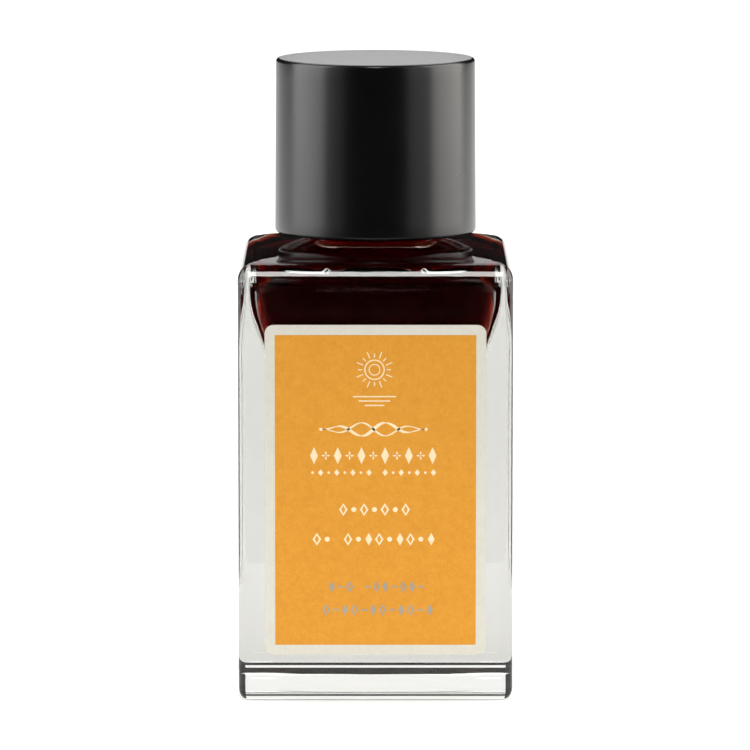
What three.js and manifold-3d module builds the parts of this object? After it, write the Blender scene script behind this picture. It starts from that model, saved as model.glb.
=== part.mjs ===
// A small square flacon of fountain-pen ink with a tall cylindrical screw cap.
//
// Millimetres, +Z up. The origin is the middle of the base, on the desk. The label faces -Y.
// The cap stands screwed down, with its sealing wad on the lip of the neck.

import * as THREE from "three";
import { mergeVertices } from "three/addons/utils/BufferGeometryUtils.js";
import Module from "manifold-3d";

const wasm = await Module();
wasm.setup();

// ---------------------------------------------------------------------------
// Driving dimensions
// ---------------------------------------------------------------------------

// Glass body, outside
const bodyWidth = 28.0; // along X
const bodyDepth = 28.0; // along Y
const shoulderHeight = 45.0; // desk to the outer edge of the shoulder
const cornerRadius = 1.0; // upright corners, seen from above
const shoulderRadius = 2.0; // rolled edge between the walls and the shoulder
const domeRise = 1.0; // from the shoulder's edge up to the foot of the neck
const heelHeight = 1.2; // rounded lower edge, upwards
const heelInset = 0.8; // rounded lower edge, inwards
const footWidth = 2.6; // flat ring that stands on the desk
const pushUp = 0.3; // hollow under the middle of the base

// Glass body, inside
const baseThickness = 10.0;
const wallThickness = 3.0; // behind the label and below it
const upperWallThickness = 1.1; // just under the shoulder, where the glass thins
const shoulderThickness = 2.2; // shoulder glass over the hollow's roof
const floorRadius = 3.4; // rounded edge of the hollow's floor
const roofRadius = 1.6; // rounded edge of the hollow's roof
const roofRise = 0.5; // slope of the roof up to the throat
const throatRadius = 1.5; // rounding between the roof and the bore
const thinningDepth = 10.0; // height over which the wall thins towards the shoulder
const wallSquareness = 7.0; // exponent of the hollow's section: 2 is round, higher is squarer

// Cap, outside
const capDiameter = 20.76; // at its lower rim
const capDraft = 0.13; // the radius lost by the top
const capHeight = 18.0;
const capGap = 1.7; // shoulder's edge to the cap's rim
const capWall = 1.0;
const capCeiling = 1.2;
const capTopEdge = 0.35;
const capRimEdge = 0.45;
const snapBeadHeight = 0.2; // ring inside the rim that keeps the insert in
const snapBeadWidth = 0.5;
const snapBeadOffset = 1.3; // from the rim up to the middle of the ring

// Threaded insert
const insertCeiling = 1.0;
const insertWall = 0.9;
const insertRimInset = 0.9; // insert's lower end above the cap's rim
const ribCount = 12;
const ribDepth = 0.8;
const ribWidth = 0.9;

// Sealing wad
const wadThickness = 1.2;
const wadEdge = 0.2; // worn edge, both ways

// Neck finish
const neckWall = 1.9;
const neckFillet = 0.7;
const lipRadius = 0.4;
const threadPitch = 25.4 / 12;
const threadHeight = 0.95;
const threadRootWidth = 1.15;
const threadCrestWidth = 0.55;
const neckThreadTurns = 2.0;
const insertThreadTurns = 1.5;
const threadRunout = 0.12; // turns over which a thread rises at each end
const threadBlunt = 0.35; // share of its height that a thread keeps at its very end
const threadBelowLip = 1.5; // lip down to the upper end of the neck's thread

// Ink and label
const inkLevel = 1.2; // shoulder's edge up to the ink's surface, which stands in the bore
const labelThickness = 0.12;
const labelFoot = 4.77; // desk up to the label's lower edge
const labelHead = 6.33; // label's upper edge up to the shoulder's edge
const labelSide = 2.76; // label's edge to the side of the glass
const labelCorner = 0.9;

// Clearances
const fitClearance = 0.05; // parts that are pressed or stuck together
const threadClearance = 0.2; // radially, between the two threads
const wadClearance = 0.3; // around the wad, inside the insert
const inkClearance = 0.12; // ink to glass

// Facets
const cornerFacets = 4;
const flatFacets = 8;
const turnFacets = 48;
const arcFacets = 2; // half the facets in an arc, and those in a quadratic curve

// ---------------------------------------------------------------------------
// Sizes that follow from them
// ---------------------------------------------------------------------------

const capRimRadius = capDiameter / 2;
const capTopRadius = capRimRadius - capDraft;
const capBore = capTopRadius - capWall;
const insertRadius = capBore - fitClearance - ribDepth;
const insertBore = insertRadius - insertWall;
const neckThreadRadius = insertBore - threadClearance;
const neckRadius = neckThreadRadius - threadHeight;
const boreRadius = neckRadius - neckWall;
const wadRadius = insertBore - wadClearance;

const capRim = shoulderHeight + capGap;
const capTop = capRim + capHeight;
const insertTop = capTop - capCeiling - fitClearance;
const wadTop = insertTop - insertCeiling - fitClearance;
const lip = wadTop - wadThickness - fitClearance;
const neckFoot = shoulderHeight + domeRise;
const hollowRoof = shoulderHeight + domeRise / 2 - shoulderThickness;
const inkSurface = shoulderHeight + inkLevel;

// ---------------------------------------------------------------------------
// Shared helpers
// ---------------------------------------------------------------------------

/** A closed solid for joining and cutting, from any closed geometry. */
function toSolid(geometry) {
  const bare = geometry.clone();
  bare.deleteAttribute("normal");
  bare.deleteAttribute("uv");
  const merged = mergeVertices(bare, 1e-4);
  const corners = merged.index.array;
  const kept = [];
  for (let i = 0; i < corners.length; i += 3) {
    const [a, b, c] = [corners[i], corners[i + 1], corners[i + 2]];
    if (a !== b && b !== c && c !== a) {
      kept.push(a, b, c);
    }
  }
  const vertProperties = new Float32Array(merged.attributes.position.array);
  const mesh = new wasm.Mesh({ numProp: 3, vertProperties, triVerts: new Uint32Array(kept) });
  return new wasm.Manifold(mesh);
}

/** A named mesh of a finished solid in its own material. */
function toMesh(name, solid, material) {
  const { vertProperties, triVerts } = solid.getMesh();
  const geometry = new THREE.BufferGeometry();
  geometry.setAttribute("position", new THREE.BufferAttribute(new Float32Array(vertProperties), 3));
  geometry.setIndex(new THREE.BufferAttribute(new Uint32Array(triVerts), 1));
  geometry.computeVertexNormals();
  const mesh = new THREE.Mesh(geometry, material);
  mesh.name = name;
  return mesh;
}

/** A solid turned about Z from an outline of radius and height that runs from low to high outside. */
function turned(path, facets = turnFacets) {
  const lathe = new THREE.LatheGeometry(path.getPoints(arcFacets), facets);
  lathe.rotateX(Math.PI / 2);
  return toSolid(lathe);
}

/** The directions, seen from above, in which every ring of the glass has a point. */
function stationAngles() {
  const cornerX = bodyWidth / 2 - cornerRadius;
  const cornerY = bodyDepth / 2 - cornerRadius;
  const first = Math.atan2(cornerY, bodyWidth / 2);
  const quadrant = [];
  for (let i = 0; i <= cornerFacets; i += 1) {
    const turn = ((Math.PI / 2) * i) / cornerFacets;
    const x = cornerX + cornerRadius * Math.cos(turn);
    const y = cornerY + cornerRadius * Math.sin(turn);
    quadrant.push(Math.atan2(y, x));
  }
  const last = Math.atan2(bodyDepth / 2, cornerX);
  const half = flatFacets / 2;
  const rising = [];
  const falling = [];
  for (let i = 0; i < half; i += 1) {
    rising.push((first * i) / half);
    falling.push(last + ((Math.PI / 2 - last) * (i + 1)) / half);
  }
  const quarter = [...rising, ...quadrant, ...falling];
  quarter.pop();
  const mirrored = quarter.slice(1).map((angle) => Math.PI - angle).reverse();
  const upper = [...quarter, Math.PI / 2, ...mirrored];
  return [...upper, ...upper.map((angle) => angle + Math.PI)];
}

/** A point on a rectangle with round corners, in the given direction from its middle. */
function roundedRectanglePoint(angle, halfX, halfY, corner) {
  const dx = Math.abs(Math.cos(angle));
  const dy = Math.abs(Math.sin(angle));
  const cornerX = halfX - corner;
  const cornerY = halfY - corner;
  let reach;
  if (halfX * dy <= cornerY * dx) {
    reach = halfX / dx;
  } else if (halfY * dx <= cornerX * dy) {
    reach = halfY / dy;
  } else {
    const along = dx * cornerX + dy * cornerY;
    const rest = cornerX ** 2 + cornerY ** 2 - corner ** 2;
    reach = along + Math.sqrt(Math.max(along ** 2 - rest, 0));
  }
  return [reach * Math.cos(angle), reach * Math.sin(angle)];
}

/** A point on a superellipse, in the given direction from its middle. */
function superellipsePoint(angle, halfX, halfY, exponent) {
  const x = Math.abs(Math.cos(angle) / halfX) ** exponent;
  const y = Math.abs(Math.sin(angle) / halfY) ** exponent;
  const reach = (x + y) ** (-1 / exponent);
  return [reach * Math.cos(angle), reach * Math.sin(angle)];
}

/** A closed solid through rings of points, shut by a point on the axis at each end. */
function lofted(startHeight, rings, endHeight) {
  const count = rings[0].points.length;
  const positions = [0, 0, startHeight];
  for (const ring of rings) {
    for (const [x, y] of ring.points) {
      positions.push(x, y, ring.z);
    }
  }
  positions.push(0, 0, endHeight);
  const end = rings.length * count + 1;
  const corner = (ring, i) => 1 + ring * count + (i % count);
  const faces = [];
  for (let i = 0; i < count; i += 1) {
    faces.push(0, corner(0, i + 1), corner(0, i));
    for (let ring = 0; ring + 1 < rings.length; ring += 1) {
      faces.push(corner(ring, i), corner(ring, i + 1), corner(ring + 1, i + 1));
      faces.push(corner(ring, i), corner(ring + 1, i + 1), corner(ring + 1, i));
    }
    faces.push(corner(rings.length - 1, i), corner(rings.length - 1, i + 1), end);
  }
  const geometry = new THREE.BufferGeometry();
  geometry.setAttribute("position", new THREE.Float32BufferAttribute(positions, 3));
  geometry.setIndex(faces);
  return toSolid(geometry);
}

/**
 * A right-hand thread as a closed ridge. It stands on rootRadius, reaches crestRadius, which lies
 * outside or inside the root, and climbs one pitch in each turn from the given height. Its facets
 * change direction at the given angles, like those of the wall that it stands on.
 */
function threadRidge(rootRadius, crestRadius, turns, startHeight, directions) {
  const outward = Math.sign(crestRadius - rootRadius);
  const buried = rootRadius - outward * threadClearance;
  const sweep = [];
  for (let turn = 0; turn < turns + 1; turn += 1) {
    sweep.push(...directions.map((angle) => turn + angle / (2 * Math.PI)));
  }
  const stops = sweep.filter((turn) => turn < turns + 1e-6);
  const corners = [];
  for (const turn of stops) {
    const angle = turn * 2 * Math.PI;
    const middle = startHeight + turn * threadPitch;
    const rise = Math.min(turn, turns - turn) / threadRunout;
    const share = THREE.MathUtils.clamp(threadBlunt + (1 - threadBlunt) * rise, threadBlunt, 1);
    const crest = rootRadius + (crestRadius - rootRadius) * share;
    const section = [
      [buried, -threadRootWidth / 2],
      [crest, -threadCrestWidth / 2],
      [crest, threadCrestWidth / 2],
      [buried, threadRootWidth / 2],
    ];
    for (const [radius, height] of section) {
      corners.push(radius * Math.cos(angle), radius * Math.sin(angle), middle + height);
    }
  }
  const faces = [];
  for (let i = 0; i + 1 < stops.length; i += 1) {
    for (let side = 0; side < 4; side += 1) {
      const a = 4 * i + side;
      const b = 4 * i + ((side + 1) % 4);
      faces.push(a, a + 4, b, b, a + 4, b + 4);
    }
  }
  const last = 4 * (stops.length - 1);
  faces.push(0, 1, 2, 0, 2, 3);
  faces.push(last, last + 2, last + 1, last, last + 3, last + 2);
  if (outward < 0) {
    for (let i = 0; i < faces.length; i += 3) {
      [faces[i + 1], faces[i + 2]] = [faces[i + 2], faces[i + 1]];
    }
  }
  const geometry = new THREE.BufferGeometry();
  geometry.setAttribute("position", new THREE.Float32BufferAttribute(corners, 3));
  geometry.setIndex(faces);
  return toSolid(geometry);
}

// ---------------------------------------------------------------------------
// Glass bottle
// ---------------------------------------------------------------------------

const stations = stationAngles();

/** One outer ring of the glass: square at the walls and round at the neck. */
function outerRing(half, z) {
  const domeEdge = bodyWidth / 2 - shoulderRadius;
  const roundEdge = neckRadius + neckFillet;
  const roundness = THREE.MathUtils.clamp((domeEdge - half) / (domeEdge - roundEdge), 0, 1);
  const inset = Math.min(bodyWidth / 2 - half, shoulderRadius);
  const halfY = half + ((bodyDepth - bodyWidth) / 2) * (1 - roundness);
  const edgeCorner = Math.max(cornerRadius - inset, cornerRadius / 4);
  const corner = THREE.MathUtils.lerp(edgeCorner, Math.min(half, halfY), roundness);
  return { z, points: stations.map((angle) => roundedRectanglePoint(angle, half, halfY, corner)) };
}

/** The glass from the middle of its underside up to the lip, as half widths and heights. */
function outerProfile() {
  const half = bodyWidth / 2;
  const standing = half - heelInset;
  const outline = new THREE.Path();
  outline.moveTo(standing - footWidth, 0);
  outline.lineTo(standing, 0);
  outline.absellipse(standing, heelHeight, heelInset, heelHeight, -Math.PI / 2, 0, false);
  const rollEnd = THREE.MathUtils.degToRad(86);
  outline.lineTo(half, shoulderHeight - shoulderRadius);
  outline.absarc(half - shoulderRadius, shoulderHeight - shoulderRadius, shoulderRadius, 0, rollEnd);
  const foot = neckRadius + neckFillet;
  outline.quadraticCurveTo((half + foot) / 2, neckFoot - domeRise / 4, foot, neckFoot);
  outline.quadraticCurveTo(neckRadius, neckFoot, neckRadius, neckFoot + neckFillet);
  outline.lineTo(neckRadius, lip - lipRadius);
  outline.absarc(neckRadius - lipRadius, lip - lipRadius, lipRadius, 0, Math.PI / 2);
  return outline.getPoints(arcFacets);
}

/** One ring of the hollow: a soft square in the body and round in the bore. */
function hollowRing(half, z, squareness, shrink) {
  const reach = (half - boreRadius) / (bodyWidth / 2 - wallThickness - boreRadius);
  const slack = (bodyDepth - bodyWidth) / 2;
  const halfY = half + slack * THREE.MathUtils.clamp(reach, 0, 1);
  const points = stations.map((angle) => {
    return superellipsePoint(angle, half - shrink, halfY - shrink, squareness);
  });
  return { z, points };
}

/** The hollow from the bore down to the edge of its floor, as half widths and heights. */
function hollowProfile() {
  const wall = bodyWidth / 2 - wallThickness;
  const upperWall = bodyWidth / 2 - upperWallThickness;
  const throatEdge = boreRadius + throatRadius;
  const roofEdge = upperWall - roofRadius;
  const outline = new THREE.Path();
  outline.moveTo(boreRadius, hollowRoof + roofRise + throatRadius);
  outline.quadraticCurveTo(boreRadius, hollowRoof + roofRise, throatEdge, hollowRoof + roofRise);
  outline.quadraticCurveTo(
    (throatEdge + roofEdge) / 2,
    hollowRoof + roofRise / 2,
    roofEdge,
    hollowRoof,
  );
  outline.absarc(roofEdge, hollowRoof - roofRadius, roofRadius, Math.PI / 2, 0, true);
  const thinningEnd = hollowRoof - roofRadius - thinningDepth;
  outline.bezierCurveTo(
    upperWall,
    thinningEnd + thinningDepth / 2,
    wall,
    thinningEnd + thinningDepth / 2,
    wall,
    thinningEnd,
  );
  outline.lineTo(wall, baseThickness + floorRadius);
  outline.absarc(wall - floorRadius, baseThickness + floorRadius, floorRadius, 0, -Math.PI / 2, true);
  return outline.getPoints(arcFacets);
}

/** How square the hollow is at a height: full in the body, fading to a circle in the throat. */
function squarenessAt(z) {
  const fadeEnd = hollowRoof + roofRise + throatRadius;
  const fade = THREE.MathUtils.clamp((fadeEnd - z) / (fadeEnd - hollowRoof), 0, 1);
  return 2 + (wallSquareness - 2) * fade;
}

function glassSolid() {
  const outer = outerProfile().map((point) => outerRing(point.x, point.y));
  const hollow = hollowProfile().map((point) => {
    return hollowRing(point.x, point.y, squarenessAt(point.y), 0);
  });
  const mouth = new THREE.Path();
  mouth.moveTo(boreRadius + lipRadius, lip);
  mouth.absarc(boreRadius + lipRadius, lip - lipRadius, lipRadius, Math.PI / 2, Math.PI, false);
  const lipRings = mouth.getPoints(arcFacets).map((point) => hollowRing(point.x, point.y, 2, 0));
  const body = lofted(pushUp, [...outer, ...lipRings, ...hollow], baseThickness);
  const threadStart = lip - threadBelowLip - neckThreadTurns * threadPitch;
  const thread = threadRidge(neckRadius, neckThreadRadius, neckThreadTurns, threadStart, stations);
  return body.add(thread);
}

const glassMaterial = new THREE.MeshStandardMaterial({
  color: 0xdfe4e2,
  roughness: 0.05,
  metalness: 0.0,
  transparent: true,
  opacity: 0.35,
});

// ---------------------------------------------------------------------------
// Ink
// ---------------------------------------------------------------------------

/** The hollow's outline from the edge of its floor up to a height in the hollow or the bore. */
function wettedProfile(top) {
  const outline = [new THREE.Vector2(boreRadius, lip), ...hollowProfile()];
  const next = outline.findIndex((point) => point.y < top);
  const [upper, lower] = [outline[next - 1], outline[next]];
  const share = (top - lower.y) / (upper.y - lower.y);
  return [lower.clone().lerp(upper, share), ...outline.slice(next)].reverse();
}

/** The ink, as clear of the roof and the floor as of the walls. */
function inkSolid() {
  const floor = baseThickness + inkClearance;
  const middle = (baseThickness + hollowRoof) / 2;
  const rings = wettedProfile(inkSurface + inkClearance).map((point) => {
    const drop = point.y > middle ? inkClearance : 0;
    const z = Math.max(point.y - drop, floor);
    return hollowRing(point.x, z, squarenessAt(point.y), inkClearance);
  });
  return lofted(floor, rings, inkSurface);
}

const inkMaterial = new THREE.MeshStandardMaterial({ color: 0x3a1206, roughness: 0.1, metalness: 0.0 });

// ---------------------------------------------------------------------------
// Label
// ---------------------------------------------------------------------------

function labelSolid() {
  const halfWidth = bodyWidth / 2 - labelSide;
  const top = shoulderHeight - labelHead;
  const outline = new THREE.Shape();
  outline.moveTo(halfWidth - labelCorner, labelFoot);
  outline.absarc(halfWidth - labelCorner, labelFoot + labelCorner, labelCorner, -Math.PI / 2, 0);
  outline.absarc(halfWidth - labelCorner, top - labelCorner, labelCorner, 0, Math.PI / 2);
  outline.absarc(labelCorner - halfWidth, top - labelCorner, labelCorner, Math.PI / 2, Math.PI);
  outline.absarc(labelCorner - halfWidth, labelFoot + labelCorner, labelCorner, Math.PI, Math.PI * 1.5);
  const settings = { depth: labelThickness, bevelEnabled: false, curveSegments: arcFacets };
  const sheet = new THREE.ExtrudeGeometry(outline, settings);
  sheet.rotateX(Math.PI / 2);
  sheet.translate(0, -bodyDepth / 2 - fitClearance, 0);
  return toSolid(sheet);
}

const labelMaterial = new THREE.MeshStandardMaterial({ color: 0xe9a03a, roughness: 0.8, metalness: 0.0 });

// ---------------------------------------------------------------------------
// Cap shell, threaded insert and sealing wad
// ---------------------------------------------------------------------------

function capShellSolid() {
  const bead = capRim + snapBeadOffset;
  const ceiling = capTop - capCeiling;
  const outline = new THREE.Path();
  outline.moveTo(0, ceiling);
  outline.lineTo(capBore, ceiling);
  outline.lineTo(capBore, bead + snapBeadWidth / 2);
  outline.lineTo(capBore - snapBeadHeight, bead);
  outline.lineTo(capBore, bead - snapBeadWidth / 2);
  outline.lineTo(capBore, capRim + capRimEdge / 2);
  outline.lineTo(capBore + capRimEdge / 2, capRim);
  outline.lineTo(capRimRadius - capRimEdge, capRim);
  outline.absarc(capRimRadius - capRimEdge, capRim + capRimEdge, capRimEdge, -Math.PI / 2, 0);
  outline.lineTo(capTopRadius, capTop - capTopEdge);
  outline.absarc(capTopRadius - capTopEdge, capTop - capTopEdge, capTopEdge, 0, Math.PI / 2);
  outline.lineTo(0, capTop);
  return turned(outline);
}

function capInsertSolid() {
  const foot = capRim + insertRimInset;
  const ceiling = insertTop - insertCeiling;
  const outline = new THREE.Path();
  outline.moveTo(0, ceiling);
  outline.lineTo(insertBore, ceiling);
  outline.lineTo(insertBore, foot + insertWall / 3);
  outline.lineTo(insertBore + insertWall / 3, foot);
  outline.lineTo(insertRadius, foot);
  outline.lineTo(insertRadius, insertTop);
  outline.lineTo(0, insertTop);
  let insert = turned(outline);

  const ribFoot = capRim + snapBeadOffset + snapBeadWidth / 2 + fitClearance;
  const ribHeight = insertTop - insertCeiling / 2 - ribFoot;
  const ribReach = capBore - fitClearance;
  const ribRoot = insertRadius - insertWall / 2;
  for (let i = 0; i < ribCount; i += 1) {
    const length = ribReach - ribRoot;
    const rib = new THREE.BoxGeometry(length, ribWidth, ribHeight);
    rib.translate(ribRoot + length / 2, 0, ribFoot + ribHeight / 2);
    rib.rotateZ((i * 2 * Math.PI) / ribCount);
    insert = insert.add(toSolid(rib));
  }

  const crest = neckRadius + threadClearance;
  const threadStart = lip - threadBelowLip - (neckThreadTurns + 0.5) * threadPitch;
  const facets = Array.from({ length: turnFacets }, (_, i) => (i * 2 * Math.PI) / turnFacets);
  const thread = threadRidge(insertBore, crest, insertThreadTurns, threadStart, facets);
  return insert.add(thread);
}

function wadSolid() {
  const bottom = wadTop - wadThickness;
  const edge = wadRadius - wadEdge;
  const outline = new THREE.Path();
  outline.moveTo(0, bottom);
  outline.lineTo(edge, bottom);
  outline.lineTo(wadRadius, bottom + wadEdge);
  outline.lineTo(wadRadius, wadTop - wadEdge);
  outline.lineTo(edge, wadTop);
  outline.lineTo(0, wadTop);
  return turned(outline);
}

const capMaterial = new THREE.MeshStandardMaterial({ color: 0x17181a, roughness: 0.45, metalness: 0.0 });
const insertMaterial = new THREE.MeshStandardMaterial({ color: 0x202123, roughness: 0.55, metalness: 0.0 });
const wadMaterial = new THREE.MeshStandardMaterial({ color: 0xf0efeb, roughness: 0.85, metalness: 0.0 });

// ---------------------------------------------------------------------------
// Assembly
// ---------------------------------------------------------------------------

const bottle = new THREE.Group();
bottle.add(toMesh("glass_bottle", glassSolid(), glassMaterial));
bottle.add(toMesh("ink", inkSolid(), inkMaterial));
bottle.add(toMesh("front_label", labelSolid(), labelMaterial));

const cap = new THREE.Group();
cap.add(toMesh("cap_shell", capShellSolid(), capMaterial));
cap.add(toMesh("cap_insert", capInsertSolid(), insertMaterial));
cap.add(toMesh("sealing_wad", wadSolid(), wadMaterial));

const inkBottle = new THREE.Group();
inkBottle.add(bottle, cap);

export default inkBottle;
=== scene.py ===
"""The looks of a small square flacon of fountain-pen ink with a tall black screw cap.

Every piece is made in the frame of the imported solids, in metres: +Z up, the label facing -Y.
"""

import logging
import math
from dataclasses import dataclass, field
from enum import Enum
from typing import Any, Iterable, Sequence

import bmesh
import bpy
from mathutils import Matrix, Vector


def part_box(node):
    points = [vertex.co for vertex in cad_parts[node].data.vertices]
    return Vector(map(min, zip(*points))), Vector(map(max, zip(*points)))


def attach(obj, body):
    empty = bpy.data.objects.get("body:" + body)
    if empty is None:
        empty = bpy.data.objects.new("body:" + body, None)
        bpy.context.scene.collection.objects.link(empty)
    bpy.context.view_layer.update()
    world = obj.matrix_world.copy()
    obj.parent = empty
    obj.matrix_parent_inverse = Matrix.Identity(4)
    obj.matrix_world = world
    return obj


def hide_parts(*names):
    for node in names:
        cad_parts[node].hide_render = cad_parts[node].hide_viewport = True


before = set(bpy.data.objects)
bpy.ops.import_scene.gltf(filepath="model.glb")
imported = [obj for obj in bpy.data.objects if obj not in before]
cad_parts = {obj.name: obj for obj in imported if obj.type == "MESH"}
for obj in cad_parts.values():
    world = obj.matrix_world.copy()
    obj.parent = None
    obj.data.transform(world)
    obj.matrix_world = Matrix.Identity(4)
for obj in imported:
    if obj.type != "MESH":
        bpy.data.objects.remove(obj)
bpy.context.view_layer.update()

MM = 0.001
SAME_PLACE = 1e-6  # millimetres; places closer than this are one
WELD = 1e-5  # millimetres; vertices closer than this are merged
POLE = 0.4  # half width in millimetres of the small flat face that closes a shell on its axis
WET_LAYER = "wet"
LOG = logging.getLogger("ink_bottle")
Point = tuple[float, float]


# ---------------------------------------------------------------------------
# Colour and node helpers
# ---------------------------------------------------------------------------


def linear(hex_colour: str) -> tuple[float, float, float, float]:
    """Turns an sRGB hex colour into the linear colour that shaders take.

    Args:
        hex_colour: Six hex digits after a number sign.

    Returns:
        Red, green and blue, linear, and full opacity.
    """
    channels = []
    for start in (1, 3, 5):
        value = int(hex_colour[start:start + 2], 16) / 255
        channels.append(value / 12.92 if value <= 0.04045 else ((value + 0.055) / 1.055) ** 2.4)
    return (channels[0], channels[1], channels[2], 1.0)


def add_node(
    tree: bpy.types.NodeTree,
    kind: str,
    values: dict[str | int, Any] | None = None,
    links: dict[str | int, bpy.types.NodeSocket] | None = None,
    **settings: Any,
) -> bpy.types.Node:
    """Adds one node with its settings, its input values and its links.

    Args:
        tree: Node tree that gets the node.
        kind: Blender's identifier of the node.
        values: Constant values by input name or number.
        links: Sockets that feed the inputs, by input name or number.
        **settings: Attributes of the node itself.

    Returns:
        The new node.
    """
    node = tree.nodes.new(kind)
    for name, value in settings.items():
        setattr(node, name, value)
    for name, value in (values or {}).items():
        node.inputs[name].default_value = value
    for name, socket in (links or {}).items():
        tree.links.new(socket, node.inputs[name])
    return node


def new_material(name: str) -> tuple[bpy.types.Material, bpy.types.NodeTree, bpy.types.Node]:
    """Makes an empty node material.

    Args:
        name: Name of the real material.

    Returns:
        The material, its node tree and its output node.
    """
    material = bpy.data.materials.new(name)
    material.use_nodes = True
    tree = material.node_tree
    tree.nodes.clear()
    return material, tree, tree.nodes.new("ShaderNodeOutputMaterial")


def object_pattern(tree: bpy.types.NodeTree, upright: float = 1.0) -> bpy.types.NodeSocket:
    """Gives Object coordinates for a pattern.

    Args:
        tree: Node tree of the material.
        upright: Scale along Z; less than 1 draws the pattern out upright.

    Returns:
        The vector socket.
    """
    place = add_node(tree, "ShaderNodeTexCoord")
    mapping = add_node(
        tree,
        "ShaderNodeMapping",
        {"Scale": (1.0, 1.0, upright)},
        {"Vector": place.outputs["Object"]},
    )
    return mapping.outputs["Vector"]


def clear_skin(
    tree: bpy.types.NodeTree,
    dry_index: float,
    wet_index: float,
    normal: bpy.types.NodeSocket | None = None,
) -> bpy.types.NodeSocket:
    """Makes a clear skin that bends light by one index against air and by another at the ink.

    Where glass and ink touch, their two skins then bend light once, by the ratio of their indices.

    Args:
        tree: Node tree of the material.
        dry_index: Refractive index of the inside against air.
        wet_index: Refractive index of the skin where glass and ink touch.
        normal: Normal that bends the skin, if any.

    Returns:
        The mixed shader's socket.
    """
    dry, wetted = (
        add_node(
            tree,
            "ShaderNodeBsdfPrincipled",
            {
                "Base Color": linear("#FFFFFF"),
                "Roughness": 0.0,
                "IOR": index,
                "Transmission Weight": 1.0,
            },
            {"Normal": normal} if normal else {},
        )
        for index in (dry_index, wet_index)
    )
    wet = add_node(tree, "ShaderNodeAttribute", attribute_name=WET_LAYER)
    mix = add_node(
        tree,
        "ShaderNodeMixShader",
        links={0: wet.outputs["Fac"], 1: dry.outputs["BSDF"], 2: wetted.outputs["BSDF"]},
    )
    return mix.outputs["Shader"]


# ---------------------------------------------------------------------------
# Finishes
# ---------------------------------------------------------------------------


@dataclass(frozen=True)
class FlintGlass:
    """Thick flint glass, blown in a mould and fire polished.

    To the eye it is colourless and greys a little in a long path. It has hard bright edges, and
    its walls ripple slightly, which breaks what is seen through them into soft upright streaks.
    """

    index: float = 1.52
    tint: str = "#EEEEED"
    tint_density: float = 165.0
    ripple_mm: float = 7.0
    ripple_depth_mm: float = 0.05
    ripple_upright: float = 0.22
    ripple_strength: float = 0.1

    def make(self) -> bpy.types.Material:
        """Builds the glass.

        Returns:
            The material.
        """
        material, tree, out = new_material("flint_glass")
        place = object_pattern(tree, self.ripple_upright)
        ripple = add_node(
            tree,
            "ShaderNodeTexNoise",
            {"Scale": 1 / (self.ripple_mm * MM), "Detail": 1.0, "Roughness": 0.4},
            {"Vector": place},
        )
        bump = add_node(
            tree,
            "ShaderNodeBump",
            {"Strength": self.ripple_strength, "Distance": self.ripple_depth_mm * MM},
            {"Height": ripple.outputs["Fac"]},
        )
        against_ink = self.index / AmberInk.index
        skin = clear_skin(tree, self.index, against_ink, bump.outputs["Normal"])
        body = add_node(
            tree,
            "ShaderNodeVolumeAbsorption",
            {"Color": linear(self.tint), "Density": self.tint_density},
        )
        tree.links.new(skin, out.inputs["Surface"])
        tree.links.new(body.outputs["Volume"], out.inputs["Volume"])
        return material


@dataclass(frozen=True)
class AmberInk:
    """Water-based dye ink, very dark amber-brown.

    In the bottle it is nearly black; a thin layer of it glows red-brown, and the film that it
    leaves on the glass is golden.
    """

    index: float = 1.38
    dye: str = "#E18926"
    dye_density: float = 850.0

    def make(self) -> bpy.types.Material:
        """Builds the ink.

        Returns:
            The material.
        """
        material, tree, out = new_material("amber_dye_ink")
        skin = clear_skin(tree, self.index, 1.0)
        body = add_node(
            tree,
            "ShaderNodeVolumeAbsorption",
            {"Color": linear(self.dye), "Density": self.dye_density},
        )
        tree.links.new(skin, out.inputs["Surface"])
        tree.links.new(body.outputs["Volume"], out.inputs["Volume"])
        return material


@dataclass(frozen=True)
class MouldedPlastic:
    """Injection-moulded polypropylene or ABS with a spark-eroded satin skin.

    A fine even grain spreads each reflection into a soft band, and faint patches of the skin are
    a little smoother from handling.
    """

    name: str
    colour: str
    roughness: float
    grain_mm: float = 0.16  # a real grain of 0.05 mm, drawn as coarse as it needs to show
    grain_depth_mm: float = 0.004
    grain_strength: float = 0.5
    patch_mm: float = 9.0
    patch_change: float = 0.03
    index: float = 1.49

    def make(self) -> bpy.types.Material:
        """Builds the plastic.

        Returns:
            The material.
        """
        material, tree, out = new_material(self.name)
        place = object_pattern(tree)
        grain = add_node(
            tree,
            "ShaderNodeTexNoise",
            {"Scale": 1 / (self.grain_mm * MM), "Detail": 2.0, "Roughness": 0.6},
            {"Vector": place},
        )
        patches = add_node(
            tree,
            "ShaderNodeTexNoise",
            {"Scale": 1 / (self.patch_mm * MM), "Detail": 2.0, "Roughness": 0.5},
            {"Vector": place},
        )
        roughness = add_node(
            tree,
            "ShaderNodeMapRange",
            {
                "To Min": self.roughness - self.patch_change,
                "To Max": self.roughness + self.patch_change,
            },
            {"Value": patches.outputs["Fac"]},
        )
        bump = add_node(
            tree,
            "ShaderNodeBump",
            {"Strength": self.grain_strength, "Distance": self.grain_depth_mm * MM},
            {"Height": grain.outputs["Fac"]},
        )
        shader = add_node(
            tree,
            "ShaderNodeBsdfPrincipled",
            {"Base Color": linear(self.colour), "IOR": self.index},
            {"Roughness": roughness.outputs["Result"], "Normal": bump.outputs["Normal"]},
        )
        tree.links.new(shader.outputs["BSDF"], out.inputs["Surface"])
        return material


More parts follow.
